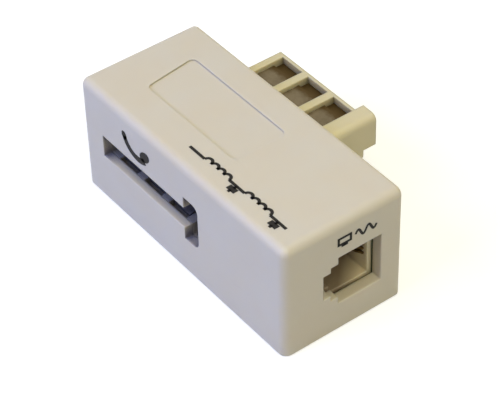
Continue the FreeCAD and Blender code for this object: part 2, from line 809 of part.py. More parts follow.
def make_choke(number, side):
    """A wound ferrite drum on a square base: three pieces."""
    across = tee_end + size.socket_wall + size.choke_gap + size.choke_diameter / 2
    up = cavity_middle + size.choke_spacing / 2 * side
    base = new_body("choke_base_" + str(number))
    half = size.choke_diameter / 2
    foot = outline(base, "base_outline", "XZ_Plane", -board_front,
                   rectangle(across - half, up - half, across + half, up + half))
    grow(base, "base_sheet", foot, size.choke_base)

    drum_back = board_front - size.choke_base
    flange = size.choke_flange
    profile = [
        (ZERO, drum_back - size.choke_length),
        (half, drum_back - size.choke_length),
        (half, drum_back - size.choke_length + flange),
        (size.choke_neck / 2, drum_back - size.choke_length + flange),
        (size.choke_neck / 2, drum_back - flange),
        (half, drum_back - flange),
        (half, drum_back),
        (ZERO, drum_back),
    ]
    core = turned("choke_core_" + str(number), profile, across, up)
    coil = turned("choke_winding_" + str(number), [
        (size.choke_neck / 2, drum_back - size.choke_length + flange),
        (size.winding_diameter / 2, drum_back - size.choke_length + flange),
        (size.winding_diameter / 2, drum_back - flange),
        (size.choke_neck / 2, drum_back - flange),
    ], across, up)
    return [base, core, coil]


def turned(label, profile, across, up):
    """A body turned about its own Y axis and stood at its place."""
    body = new_body(label)
    sketch = outline(body, "profile", "XY_Plane", ZERO, profile)
    turn = body.newObject("PartDesign::Revolution", "turn")
    turn.Profile = sketch
    turn.ReferenceAxis = (sketch, ["V_Axis"])
    turn.Angle = FULL_TURN
    doc.recompute()
    body.setExpression("Placement.Base.x", across.text)
    body.setExpression("Placement.Base.z", up.text)
    return body


def make_capacitor(number, column):
    """A boxed film capacitor on the board, below the socket body."""
    label = "film_capacitor_" + str(number)
    box = new_body(label)
    middle_x = contact_middle + (size.capacitor_length + size.fit_gap) * column
    half = size.capacitor_length / 2
    face = outline(box, "box_outline", "XZ_Plane", -board_front,
                   rectangle(middle_x - half, capacitor_low, middle_x + half,
                             capacitor_low + size.capacitor_width))
    grow(box, "box", face, size.capacitor_height)
    round_off(box, "box_edges", lambda edge: along(edge, Y), size.capacitor_round)
    return box


def make_resistor(number, column):
    """A resistor lying on the board above the socket body."""
    radius = size.resistor_diameter / 2
    body = doc.addObject("Part::Cylinder", "resistor_" + str(number))
    body.Label = "resistor_" + str(number)
    body.setExpression("Radius", radius.text)
    body.setExpression("Height", size.resistor_length.text)
    middle_x = contact_middle + (size.resistor_length + size.resistor_space) * column
    body.Placement = FreeCAD.Placement(FreeCAD.Vector(), FreeCAD.Rotation(Y, QUARTER_TURN))
    body.setExpression("Placement.Base.x", (middle_x - size.resistor_length / 2).text)
    body.setExpression("Placement.Base.y", (board_front - radius).text)
    body.setExpression("Placement.Base.z", (resistor_low + radius).text)
    return body


def build():
    pieces = [make_outer_case(), make_back_cover(), make_socket_body(), make_jack_body()]
    for column in range(CONTACT_COUNT):
        number = str(column + 1)
        offset = column - CONTACT_COUNT // 2
        pieces.append(make_spring("socket_spring_lower_" + number, offset, 1))
        pieces.append(make_spring("socket_spring_upper_" + number, offset, -1))
        pieces.append(make_blade("plug_blade_upper_" + number, offset, 1))
        pieces.append(make_blade("plug_blade_lower_" + number, offset, -1))
    for number, level in enumerate(wire_levels(), start=1):
        pieces.append(make_wire("jack_wire_" + str(number), level))
    pieces.append(make_circuit_board())
    for number, side in ((1, -1), (2, 1)):
        pieces += make_choke(number, side)
    for number, column in ((1, 0), (2, 1)):
        pieces.append(make_capacitor(number, column))
        pieces.append(make_resistor(number, column))
    return pieces


def check_and_write(pieces):
    """Stop on anything that failed, then write one file a piece."""
    doc.recompute()
    for item in doc.Objects:
        if "Invalid" in item.State or "Error" in item.State:
            raise ValueError("failed: " + item.Name + " " + str(item.State))
    for piece in pieces:
        shape = piece.Shape
        if shape.isNull() or not shape.isValid() or len(shape.Solids) != 1:
            raise ValueError("bad shape: " + piece.Label)
    os.makedirs("parts", exist_ok=True)
    for piece in pieces:
        piece.Shape.exportStep(os.path.join("parts", piece.Label + ".step"))
        print(piece.Label, round(piece.Shape.Volume, 2))


check_and_write(build())
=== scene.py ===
"""Looks of an in-line telephone and data line filter.

Satin ivory mouldings, sprung metal contacts, printed signs, and the wound and soldered parts
inside the case. Everything is in metres in the loaded model's own frame: +X to the modular
jack, -Y to the T slot, +Y to the T plug, +Z up.
"""

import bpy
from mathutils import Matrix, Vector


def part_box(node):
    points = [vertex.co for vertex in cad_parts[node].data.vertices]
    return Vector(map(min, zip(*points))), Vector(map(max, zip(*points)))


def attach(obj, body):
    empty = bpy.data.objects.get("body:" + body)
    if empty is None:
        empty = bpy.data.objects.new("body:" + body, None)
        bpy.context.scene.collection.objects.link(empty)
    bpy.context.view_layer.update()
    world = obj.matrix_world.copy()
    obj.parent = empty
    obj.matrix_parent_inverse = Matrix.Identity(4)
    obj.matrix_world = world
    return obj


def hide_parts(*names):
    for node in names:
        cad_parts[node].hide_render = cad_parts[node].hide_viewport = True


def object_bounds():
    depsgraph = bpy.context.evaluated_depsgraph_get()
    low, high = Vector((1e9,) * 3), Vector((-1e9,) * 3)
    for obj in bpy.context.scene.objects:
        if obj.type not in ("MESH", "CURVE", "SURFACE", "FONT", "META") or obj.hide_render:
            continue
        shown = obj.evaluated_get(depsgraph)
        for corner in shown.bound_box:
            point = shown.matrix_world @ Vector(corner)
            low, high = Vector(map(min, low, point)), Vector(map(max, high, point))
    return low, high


bl_info = {
    "name": "Line filter",
    "version": (1, 0, 0),
    "blender": (4, 5, 0),
    "location": "3D View > Sidebar > Line filter",
    "description": "Dresses the solids of a telephone and data line filter",
    "category": "Object",
}

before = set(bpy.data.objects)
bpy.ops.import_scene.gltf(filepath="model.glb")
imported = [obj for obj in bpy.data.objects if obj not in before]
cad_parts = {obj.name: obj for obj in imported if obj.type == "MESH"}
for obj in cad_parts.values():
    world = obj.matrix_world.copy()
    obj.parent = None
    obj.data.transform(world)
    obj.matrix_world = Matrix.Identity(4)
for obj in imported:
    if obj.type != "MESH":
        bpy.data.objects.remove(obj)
MODEL_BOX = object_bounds()

import math

import bmesh
import bpy
from mathutils import Matrix, Quaternion, Vector

BODY = "root"
MM = 0.001

# Input and output numbers of the Mix node when it mixes colours
MIX_SHARE, MIX_FIRST, MIX_SECOND, MIX_RESULT = 0, 6, 7, 2

# The label recess has a softly run-out step: within these half sizes, and this near to the top,
# its shading leans upright by a share.
RECESS_HALF_LENGTH = 24 * MM
RECESS_HALF_WIDTH = 10.2 * MM
RECESS_REACH = 0.5 * MM
RECESS_LEAN = 0.84

# Shares of open room between which the painted shade is full at every place, so that its reach
# alone counts
EVERYWHERE = (2.0, 1.0)

# Rings of a resistor: start and end in shares of its length, and colour
RINGS = (
    (0.18, 0.26, "#6B3A1C"),
    (0.36, 0.44, "#1B1B1B"),
    (0.54, 0.62, "#B5301F"),
    (0.80, 0.88, "#B08A33"),
)

# Thickness of the chokes' enamelled wire
WIRE = 0.25 * MM

# Handset sign in shares of its length: its grip is an arc, and each end is an oval with a centre,
# a half length, a half width and a slope in degrees. Its place on the front is an X and a Z.
GRIP_RADIUS = 0.56
GRIP_HALF_WIDTH = 0.092
GRIP_START, GRIP_END = 198, 303
HANDSET_ENDS = (
    ((-0.54, -0.16), 0.13, 0.10, 114),
    ((0.30, -0.33), 0.225, 0.150, 34),
)
HANDSET_PLACE = (-11.6 * MM, 20.6 * MM)

# Screen sign: height of the screen's foot and swing of the wave in shares of the screen's
# height, width of the stand and start of the wave in shares of the screen's half width. Its place
# on the end face is a Y and a Z.
SCREEN_FOOT = 0.26
STAND_WIDTH = 0.45
STAND_LEVEL = 0.6
WAVE_START = 1.5
WAVE_LENGTH = 4.4 * MM
WAVE_SWING = 0.34
WAVE_PERIODS = 2
WAVE_STEPS = 40
SCREEN_PLACE = (0.1 * MM, 18.7 * MM)

# Circuit sign: starts of its coils in shares of its length, and in shares of its height the
# radius of a turn and the levels of both plates and of the lead's end. Its place on the top is an
# X and a Y.
COIL_STARTS = (0.16, 0.58)
COIL_TURNS = 4
TURN_RADIUS = 0.42
PLATE_LEVELS = (-0.34, -0.62)
LEAD_END = -0.95
CIRCUIT_PLACE = (-1.6 * MM, -8.4 * MM)

# Stage: colour of the sky, side of the square lamps, and each lamp's name, offset from the
# middle of the case in metres, and colour
SKY_LIGHT = "#FFF9ED"
LAMP_SIDE = 0.45
LAMPS = (
    ("top_lamp", (-0.03, 0.0, 0.60), "#FFF6C1"),
    ("front_lamp", (-0.12, -0.48, 0.36), "#A0B6FF"),
    ("side_lamp", (0.38, -0.08, 0.50), "#FFFBD7"),
)
FLOOR_TONE = "#C8C8C7"
# Light that the floor adds where it is looked at, so that its lit part shows as white
FLOOR_LIFT = 0.60
CAMERA_TARGET = (6.30 * MM, -2.16 * MM, 12.0 * MM)
SENSOR_WIDTH = 36
CLIP_START = 10 * MM


def linear(hex_colour):
    """An sRGB hex colour as linear red, green, blue and full alpha."""
    channels = []
    for start in (1, 3, 5):
        value = int(hex_colour[start:start + 2], 16) / 255
        if value <= 0.04045:
            channels.append(value / 12.92)
        else:
            channels.append(((value + 0.055) / 1.055) ** 2.4)
    return (*channels, 1.0)


def per_metre(millimetres):
    """Texture scale at which one feature is this long."""
    return 1 / (millimetres * MM)


def colour_setting(name, description, hex_colour):
    return bpy.props.FloatVectorProperty(
        name=name, description=description, subtype="COLOR", size=4, min=0, max=1,
        default=linear(hex_colour))


def length_setting(name, description, millimetres):
    return bpy.props.FloatProperty(
        name=name, description=description, unit="LENGTH", default=millimetres * MM,
        precision=5)


def strength_setting(name, description, value):
    return bpy.props.FloatProperty(name=name, description=description, default=value, min=0)


# Settings a user would change

class FinishSettings(bpy.types.PropertyGroup):
    """Colours of the mouldings, metals and inner parts."""

    case: colour_setting("Case", "Ivory of the case", "#D0C8BA")
    cover: colour_setting("Cover", "Yellower ivory of the cover and its plug", "#D5CCAF")
    socket: colour_setting("Socket", "Grey of the socket moulding behind the T slot", "#8A847F")
    jack: colour_setting("Jack", "Sand beige of the modular jack", "#E2D5BA")
    spring: colour_setting("Springs", "Dull nickel plating of the socket springs", "#7B7B88")
    blade: colour_setting("Blades", "Dulled tin on the plug's brass blades", "#766A54")
    gold: colour_setting("Jack wires", "Worn gold plating of the jack's wires", "#8F7A4C")
    ink: colour_setting("Ink", "Printing ink of the signs", "#1D1A18")
    mask: colour_setting("Board", "Olive solder mask of the board", "#3A4524")
    copper: colour_setting("Copper", "Enamelled copper wire", "#B0602C")
    box: colour_setting("Capacitors", "Filled box of the film capacitors", "#A5281C")
    lacquer: colour_setting("Resistors", "Lacquer of the resistors", "#C8AB78")


class SignSettings(bpy.types.PropertyGroup):
    """Sizes of the printed signs."""

    film: length_setting("Ink film", "Thickness of the printed film", 0.02)
    handset_length: length_setting("Handset length", "Length of the handset sign", 7.0)
    stroke: length_setting("Stroke", "Line width of the drawn signs", 0.48)
    screen_width: length_setting("Screen width", "Width of the screen sign", 3.0)
    screen_height: length_setting("Screen height", "Height of the screen sign", 2.1)
    circuit_stroke: length_setting("Circuit stroke", "Line width of the circuit sign", 0.58)
    circuit_length: length_setting("Circuit length", "Length of the circuit sign", 26.0)
    circuit_height: length_setting("Circuit height", "Height of the circuit sign", 2.0)


class StageSettings(bpy.types.PropertyGroup):
    """Camera, lamps and floor."""

    azimuth: bpy.props.FloatProperty(
        name="Azimuth", description="Turn of the camera from the front towards the jack",
        subtype="ANGLE", default=math.radians(53.75))
    elevation: bpy.props.FloatProperty(
        name="Elevation", description="Height of the camera above the floor as an angle",
        subtype="ANGLE", default=math.radians(42.36))
    roll: bpy.props.FloatProperty(
        name="Roll", description="Tilt of the camera about its own line of sight",
        subtype="ANGLE", default=math.radians(-1.71))
    distance: length_setting("Distance", "Camera to the point it looks at", 346.6)
    lens: bpy.props.FloatProperty(
        name="Lens", description="Focal length in millimetres on a 36 mm sensor",
        default=147.2, min=1)
    floor_size: length_setting("Floor", "Side of the floor", 3000)
    sky: strength_setting("Sky", "Even light from all round", 0.15)
    top_lamp: strength_setting("Top lamp", "Power of the soft lamp overhead in watts", 1.59)
    front_lamp: strength_setting("Front lamp", "Power of the cool lamp in front in watts", 3.24)
    side_lamp: strength_setting("Side lamp", "Power of the warm lamp by the jack in watts", 1.73)


# Building blocks for materials and meshes

def node(tree, kind, settings=None, inputs=None):
    """Add a node, set its properties, and fill or link its inputs."""
    made = tree.nodes.new(kind)
    for key, value in (settings or {}).items():
        setattr(made, key, value)
    for key, value in (inputs or {}).items():
        socket = made.inputs[key]
        if isinstance(value, bpy.types.NodeSocket):
            tree.links.new(value, socket)
        else:
            socket.default_value = value
    return made


def maths(tree, operation, *values):
    """The result of one Math node."""
    return node(tree, "ShaderNodeMath", {"operation": operation},
                dict(enumerate(values))).outputs[0]


def span(tree, value, low, high):
    """From zero at the low value to one at the high value, and no further."""
    return node(tree, "ShaderNodeMapRange", inputs={
        "Value": value, "From Min": low, "From Max": high}).outputs[0]


def mixed(tree, share, first, second):
    """The colour at a share of the way from the first to the second."""
    return node(tree, "ShaderNodeMix", {"data_type": "RGBA"}, {
        MIX_SHARE: share, MIX_FIRST: first, MIX_SECOND: second}).outputs[MIX_RESULT]


def noise(tree, place, millimetres, detail, roughness=0.5):
    """Noise with features of this size."""
    return node(tree, "ShaderNodeTexNoise", inputs={
        "Vector": place, "Scale": per_metre(millimetres), "Detail": detail,
        "Roughness": roughness}).outputs["Fac"]


def brighter(colour, factor, added=0.0):
    """A colour with more in each of its channels, and full alpha."""
    return tuple(min(1.0, channel * factor + added) for channel in colour[:3]) + (1.0,)


def new_material(name):
    """An empty node material and its tree."""
    material = bpy.data.materials.new(name)
    material.use_nodes = True
    material.node_tree.nodes.clear()
    return material, material.node_tree


def finish_material(material, tree, shader):
    node(tree, "ShaderNodeOutputMaterial", inputs={"Surface": shader.outputs[0]})
    return material


def dress(node_name, material):
    """Give a solid of the loaded model its finish."""
    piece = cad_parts[node_name]
    piece.data.materials.clear()
    piece.data.materials.append(material)


def solids(start):
    """Names of the loaded solids that begin alike."""
    return sorted(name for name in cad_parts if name.startswith(start))


def dress_all(start, material):
    """Give each solid whose name begins alike the same finish."""
    for name in solids(start):
        dress(name, material)


def settle(piece):
    """Let a made piece ride with the part."""
    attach(piece, BODY)
    return piece


def new_piece(name, mesh):
    piece = bpy.data.objects.new(name, mesh)
    bpy.context.scene.collection.objects.link(piece)
    return piece


def finish_settings():
    return bpy.context.scene.filter_finish


def sign_settings():
    return bpy.context.scene.filter_signs


def stage_settings():
    return bpy.context.scene.filter_stage


# Materials

def recess_normal(tree, place, soft):
    """The rounded normal, leaned upright over the label recess."""
    axes = node(tree, "ShaderNodeSeparateXYZ", inputs={0: place})
    inside = maths(tree, "GREATER_THAN", axes.outputs["Z"], MODEL_BOX[1][2] - RECESS_REACH)
    for axis, limit in (("X", RECESS_HALF_LENGTH), ("Y", RECESS_HALF_WIDTH)):
        within = maths(tree, "LESS_THAN", maths(tree, "ABSOLUTE", axes.outputs[axis]), limit)
        inside = maths(tree, "MULTIPLY", inside, within)
    weaker = maths(tree, "MULTIPLY_ADD", inside, -RECESS_LEAN, 1.0)
    lift = node(tree, "ShaderNodeCombineXYZ", inputs={
        "Z": maths(tree, "MULTIPLY", inside, RECESS_LEAN)})
    scaled = node(tree, "ShaderNodeVectorMath", {"operation": "SCALE"}, {
        0: soft, "Scale": weaker})
    leaned = node(tree, "ShaderNodeVectorMath", {"operation": "ADD"}, {
        0: scaled.outputs[0], 1: lift.outputs[0]})
    return node(tree, "ShaderNodeVectorMath", {"operation": "NORMALIZE"}, {
        0: leaned.outputs[0]}).outputs[0]


def painted_shade_share(tree, place, shade_range, shade_reach):
    """How much painted shade a place gets: more where the plastic sees little of the open room,
    and along the reach if one is given.
    """
    # Painted shade: the less open room a place sees, the further its colour darkens towards the
    # shade tint.
    open_room = node(tree, "ShaderNodeAmbientOcclusion", {"samples": 8, "only_local": True},
                     {"Distance": 4.0 * MM})
    shade_share = span(tree, open_room.outputs["AO"], *shade_range)
    if shade_reach:
        direction, gone, full = shade_reach
        along = node(tree, "ShaderNodeVectorMath", {"operation": "DOT_PRODUCT"}, {
            0: place, 1: direction})
        shade_share = maths(tree, "MULTIPLY", shade_share, span(tree, along.outputs["Value"], gone, full))
    return shade_share


def moulded_abs(name, colour, roughness, shade_tint, shade_range, shade_reach=None):
    """Injection-moulded ABS from a spark-eroded mould: satin, finely pebbled, soft at its edges.

    Shade tint is the colour of a painted shade that darkens hollows and corners where the
    plastic sees little of the room: shade range holds the shares of open room at which it begins
    and is full. Shade reach is a direction with the distances along it at which the painted
    shade is gone and is full.
    """
    material, tree = new_material(name)
    place = node(tree, "ShaderNodeTexCoord").outputs["Object"]
    # Pebbles of the eroded mould are about 0.1 mm. They are drawn at 0.22 mm so that they show.
    pebbles = noise(tree, place, 0.22, 2.0, 0.55)
    # The melt's flow leaves cloudy shades several millimetres wide.
    clouds = noise(tree, place, 11, 3.0)
    # Handling leaves hairline rubs a few millimetres long.
    stretched = node(tree, "ShaderNodeMapping", inputs={
        "Vector": place, "Rotation": (0.4, 0.2, 0.7), "Scale": (0.09, 1.0, 1.0)})
    rubs = span(tree, noise(tree, stretched.outputs[0], 0.5, 3.0), 0.60, 0.78)
    dull = maths(tree, "MULTIPLY_ADD", rubs, 0.16, roughness)
    # Moulding and wear leave every edge a little round. Each edge is also painted paler than the
    # faces: partly wear, partly a painted highlight.
    soft = node(tree, "ShaderNodeBevel", {"samples": 8}, {"Radius": 0.5 * MM}).outputs[0]
    flat = node(tree, "ShaderNodeNewGeometry").outputs["Normal"]
    facing = node(tree, "ShaderNodeVectorMath", {"operation": "DOT_PRODUCT"}, {0: soft, 1: flat})
    edge_wear_and_highlight = maths(tree, "MULTIPLY", span(tree, facing.outputs["Value"], 0.99, 0.80), 0.30)

    warm = tuple(channel * share for channel, share in zip(colour, (1.0, 0.975, 0.93, 1.0)))
    body = mixed(tree, span(tree, clouds, 0.35, 0.68), colour, warm)
    # Painted highlight and wear: edges are lightened by a tenth.
    worn_and_highlit = mixed(tree, edge_wear_and_highlight, body, brighter(colour, 1.10))
    # Painted shade: hollows and corners are darkened towards the shade tint.
    with_painted_shade = mixed(tree, painted_shade_share(tree, place, shade_range, shade_reach), worn_and_highlit, shade_tint)
    grain = node(tree, "ShaderNodeBump", inputs={
        "Strength": 0.55, "Distance": 0.012 * MM, "Height": pebbles,
        "Normal": recess_normal(tree, place, soft)})
    # Light enters the milky plastic and leaves it a millimetre away, warmer than it came.
    shader = node(tree, "ShaderNodeBsdfPrincipled", inputs={
        "Base Color": with_painted_shade, "Roughness": dull, "Subsurface Weight": 0.5,
        "Subsurface Radius": (1.0, 0.85, 0.6), "Subsurface Scale": 1.5 * MM,
        "Normal": grain.outputs[0]})
    return finish_material(material, tree, shader)


def plated_strip(name, colour, stain, along, roughness, shaded_end=None):
    """Rolled and plated contact strip: fine lines along the strip, with dull stains.

    Shaded end is a colour and the place along Y from which the strip is painted in it: a painted
    shade for a dark hollow.
    """
    material, tree = new_material(name)
    place = node(tree, "ShaderNodeTexCoord").outputs["Object"]
    scale = [1.0, 1.0, 1.0]
    scale["XYZ".index(along)] = 0.05
    run = node(tree, "ShaderNodeMapping", inputs={"Vector": place, "Scale": scale})
    # Rolling lines are a few hundredths of a millimetre apart, drawn at 0.12 mm.
    lines = noise(tree, run.outputs[0], 0.12, 2.0)
    stains = noise(tree, place, 1.8, 4.0, 0.6)
    tint = mixed(tree, span(tree, stains, 0.42, 0.66), colour, stain)
    if shaded_end:
        # The stains make the painted shade begin at a ragged line.
        dark, start = shaded_end
        far = node(tree, "ShaderNodeSeparateXYZ", inputs={0: place}).outputs["Y"]
        ragged = maths(tree, "MULTIPLY_ADD", stains, 1.6 * MM, far)
        tint = mixed(tree, span(tree, ragged, start, start + 1.0 * MM), tint, dark)
    rough = node(tree, "ShaderNodeMapRange", inputs={
        "Value": lines, "To Min": roughness - 0.08, "To Max": roughness + 0.12})
    grain = node(tree, "ShaderNodeBump", inputs={
        "Strength": 0.4, "Distance": 0.006 * MM, "Height": lines})
    shader = node(tree, "ShaderNodeBsdfPrincipled", inputs={
        "Base Color": tint, "Metallic": 1.0, "Roughness": rough.outputs[0],
        "Normal": grain.outputs[0]})
    return finish_material(material, tree, shader)


def printing_ink(name, colour):
    """Pad-printed ink: near black, matt, a little thin and uneven where it met the pebbles."""
    material, tree = new_material(name)
    place = node(tree, "ShaderNodeTexCoord").outputs["Object"]
    thin = noise(tree, place, 0.35, 3.0)
    tint = mixed(tree, span(tree, thin, 0.50, 0.80), colour, brighter(colour, 1.7))
    grain = node(tree, "ShaderNodeBump", inputs={
        "Strength": 0.4, "Distance": 0.008 * MM, "Height": thin})
    shader = node(tree, "ShaderNodeBsdfPrincipled", inputs={
        "Base Color": tint, "Roughness": 0.68, "Specular IOR Level": 0.25,
        "Normal": grain.outputs[0]})
    return finish_material(material, tree, shader)


def solder_mask(name, colour):
    """Olive green solder mask over etched copper: glossy, with paler tracks showing through."""
    material, tree = new_material(name)
    place = node(tree, "ShaderNodeTexCoord").outputs["Object"]
    # Tracks are about 0.6 mm wide, on a grid of 2.54 mm.
    tracks = node(tree, "ShaderNodeTexBrick", {"offset": 0.5}, {
        "Vector": place, "Scale": per_metre(2.54), "Mortar Size": 0.12, "Mortar Smooth": 0.1,
        "Brick Width": 3.0, "Row Height": 1.0})
    tint = mixed(tree, tracks.outputs["Fac"], colour, brighter(colour, 1.9, 0.01))
    # The mask covers the two broad faces only: the sawn edges show brown laminate.
    facing = node(tree, "ShaderNodeNewGeometry").outputs["Normal"]
    across = node(tree, "ShaderNodeSeparateXYZ", inputs={0: facing}).outputs["Y"]
    broad = maths(tree, "GREATER_THAN", maths(tree, "ABSOLUTE", across), 0.5)
    shown = mixed(tree, broad, linear("#5B4830"), tint)
    # The weave of the laminate is about 0.4 mm.
    grain = node(tree, "ShaderNodeBump", inputs={
        "Strength": 0.3, "Distance": 0.01 * MM, "Height": noise(tree, place, 0.4, 2.0)})
    shader = node(tree, "ShaderNodeBsdfPrincipled", inputs={
        "Base Color": shown, "Roughness": 0.28, "Normal": grain.outputs[0]})
    return finish_material(material, tree, shader)


def grained(name, colour, grain_mm, roughness, metallic, contrast):
    """A dense part with a plain grain: ferrite, nylon, filled resin or enamelled wire."""
    material, tree = new_material(name)
    place = node(tree, "ShaderNodeTexCoord").outputs["Object"]
    specks = noise(tree, place, grain_mm, 3.0)
    tint = mixed(tree, specks, colour, brighter(colour, contrast))
    rough = node(tree, "ShaderNodeMapRange", inputs={
        "Value": specks, "To Min": roughness - 0.08, "To Max": roughness + 0.1})
    grain = node(tree, "ShaderNodeBump", inputs={
        "Strength": 0.5, "Distance": 0.02 * MM, "Height": specks})
    shader = node(tree, "ShaderNodeBsdfPrincipled", inputs={
        "Base Color": tint, "Metallic": metallic, "Roughness": rough.outputs[0],
        "Normal": grain.outputs[0]})
    return finish_material(material, tree, shader)


def banded_lacquer(name, colour, middle_x):
    """Lacquered resistor with coloured rings across it."""
    material, tree = new_material(name)
    place = node(tree, "ShaderNodeTexCoord").outputs["Object"]
    along = node(tree, "ShaderNodeSeparateXYZ", inputs={0: place}).outputs["X"]
    low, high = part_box("resistor_1")
    half = (high.x - low.x) / 2
    rings = node(tree, "ShaderNodeValToRGB", inputs={
        "Fac": span(tree, along, middle_x - half, middle_x + half)})
    ramp = rings.color_ramp
    ramp.interpolation = "CONSTANT"
    ramp.elements[0].color = colour
    ramp.elements.remove(ramp.elements[1])
    for start, end, tone in RINGS:
        ramp.elements.new(start).color = linear(tone)
        ramp.elements.new(end).color = colour
    grain = node(tree, "ShaderNodeBump", inputs={
        "Strength": 0.5, "Distance": 0.03 * MM, "Height": noise(tree, place, 0.7, 2.0)})
    shader = node(tree, "ShaderNodeBsdfPrincipled", inputs={
        "Base Color": rings.outputs["Color"], "Roughness": 0.3, "Normal": grain.outputs[0]})
    return finish_material(material, tree, shader)


def looked_at(tree):
    """One where the camera looks, also by way of a gloss or through something clear."""
    path = node(tree, "ShaderNodeLightPath")
    mirrored = maths(tree, "MAXIMUM", path.outputs["Is Glossy Ray"],
                     path.outputs["Is Transmission Ray"])
    return maths(tree, "MAXIMUM", mirrored, path.outputs["Is Camera Ray"])


def studio_floor(name):
    """Matt pale board that keeps the shadow and shows as white where it is fully lit."""
    material, tree = new_material(name)
    matt = node(tree, "ShaderNodeBsdfDiffuse", inputs={"Color": linear(FLOOR_TONE)})
    glow = node(tree, "ShaderNodeEmission", inputs={
        "Color": (1, 1, 1, 1), "Strength": maths(tree, "MULTIPLY", looked_at(tree), FLOOR_LIFT)})
    shader = node(tree, "ShaderNodeAddShader", inputs={0: matt.outputs[0], 1: glow.outputs[0]})
    return finish_material(material, tree, shader)


# Shapes

def stroke_outline(points, half_width):
    """Both edges of a line drawn through points, as two lists of equal length."""
    left = []
    right = []
    last = len(points) - 1
    for index, point in enumerate(points):
        before = Vector(points[max(index - 1, 0)])
        after = Vector(points[min(index + 1, last)])
        direction = (after - before).normalized()
        across = Vector((-direction.y, direction.x)) * half_width(index / last)
        left.append(Vector(point) + across)
        right.append(Vector(point) - across)
    return left, right


def add_film(work, edges, film):
    """Add a thin closed film between two edges to a mesh in the making."""
    left, right = edges
    rows = []
    for first, second in zip(left, right):
        rows.append([work.verts.new((first.x, first.y, film)),
                     work.verts.new((second.x, second.y, film)),
                     work.verts.new((second.x, second.y, 0)),
                     work.verts.new((first.x, first.y, 0))])
    for row, following in zip(rows, rows[1:]):
        for side in range(4):
            after = (side + 1) % 4
            work.faces.new((row[side], row[after], following[after], following[side]))
    work.faces.new(rows[0][::-1])
    work.faces.new(rows[-1])


def printed_sign(name, strokes, turn, place):
    """Print strokes, each a list of points and a width rule, on a face of the case."""
    settings = sign_settings()
    work = bmesh.new()
    for points, half_width in strokes:
        add_film(work, stroke_outline(points, half_width), settings.film)
    bmesh.ops.recalc_face_normals(work, faces=work.faces)
    mesh = bpy.data.meshes.new(name)
    work.to_mesh(mesh)
    work.free()
    mesh.transform(Matrix.Translation(place) @ turn.to_4x4())
    mesh.materials.append(bpy.data.materials["pad_printed_ink"])
    return settle(new_piece(name, mesh))


def even(half_width):
    """A stroke of one width."""
    return lambda share: half_width


def oval(centre, long_half, short_half, slope):
    """A filled oval as one stroke, with its slope in degrees."""
    points = []
    for step in range(25):
        along = long_half * (step / 12 - 1)
        points.append((centre[0] + along * math.cos(math.radians(slope)),
                       centre[1] + along * math.sin(math.radians(slope))))

    def half_width(share):
        return short_half * math.sqrt(max(1 - (2 * share - 1) ** 2, 0.01))

    return points, half_width


def arc(centre, radius, start, end, steps):
    """Points along an arc, with its angles in degrees."""
    points = []
    for step in range(steps + 1):
        angle = math.radians(start + (end - start) * step / steps)
        points.append((centre[0] + radius * math.cos(angle),
                       centre[1] + radius * math.sin(angle)))
    return points


def rows_matrix(across, up):
    """Turn that lays a drawing's across and up on two of the model's directions."""
    across = Vector(across)
    up = Vector(up)
    return Matrix((across, up, across.cross(up))).transposed()


# Operators

class FILTER_OT_materials(bpy.types.Operator):
    """Make the finishes that several pieces share"""

    bl_idname = "filter_part.materials"
    bl_label = "Shared finishes"

    def execute(self, context):
        finish = finish_settings()
        printing_ink("pad_printed_ink", tuple(finish.ink))
        grained("enamelled_copper_wire", tuple(finish.copper), 0.6, 0.26, 0.9, 1.25)
        return {"FINISHED"}


class FILTER_OT_case(bpy.types.Operator):
    """Finish the case and the cover with its T plug"""

    bl_idname = "filter_part.case"
    bl_label = "Case and cover"

    def execute(self, context):
        finish = finish_settings()
        # A bluish grey painted shade darkens the hollows of the case near its front, in the T
        # slot; the jack's window gets none.
        dress("outer_case", moulded_abs(
            "moulded_ivory_abs", tuple(finish.case), 0.42, linear("#75727D"), (1.0, 0.76),
            ((0, 1, 0), -9.2 * MM, -9.8 * MM)))
        # A brown painted shade darkens the cover's hollows, such as the plug's windows.
        dress("back_cover", moulded_abs(
            "moulded_cream_abs", tuple(finish.cover), 0.42, linear("#5E523C"), (0.60, 0.15)))
        return {"FINISHED"}


class FILTER_OT_socket(bpy.types.Operator):
    """Finish the socket moulding and its springs"""

    bl_idname = "filter_part.socket"
    bl_label = "Socket"

    def execute(self, context):
        finish = finish_settings()
        # A dark grey painted shade darkens the socket's hollows.
        dress("socket_body", moulded_abs(
            "moulded_socket_abs", tuple(finish.socket), 0.46, linear("#484546"), (0.50, 0.12)))
        nickel = plated_strip("nickel_plated_bronze", tuple(finish.spring),
                              linear("#55555F"), "Y", 0.34)
        dress_all("socket_spring", nickel)
        return {"FINISHED"}


class FILTER_OT_blades(bpy.types.Operator):
    """Finish the plug's blades"""

    bl_idname = "filter_part.blades"
    bl_label = "Plug blades"

    def execute(self, context):
        # From 22.9 mm along Y the blades are painted dark brown: a painted shade for the hollow
        # at the plug's tip.
        dulled = plated_strip("tinned_brass_strip", tuple(finish_settings().blade),
                              linear("#675C47"), "Y", 0.45,
                              (linear("#524227"), 22.9 * MM))
        dress_all("plug_blade", dulled)
        return {"FINISHED"}


class FILTER_OT_jack(bpy.types.Operator):
    """Finish the modular jack and its wires"""

    bl_idname = "filter_part.jack"
    bl_label = "Modular jack"

    def execute(self, context):
        finish = finish_settings()
        # A brown painted shade darkens the jack's cavity everywhere, more deeply in and towards
        # -Y, whatever open room it sees.
        dress("jack_body", moulded_abs(
            "moulded_jack_abs", tuple(finish.jack), 0.40, linear("#95846F"), EVERYWHERE,
            ((1, 1, 0), 31.5 * MM, 26.8 * MM)))
        gold = plated_strip("gold_plated_wire", tuple(finish.gold), linear("#6A5632"), "X", 0.32)
        dress_all("jack_wire", gold)
        return {"FINISHED"}


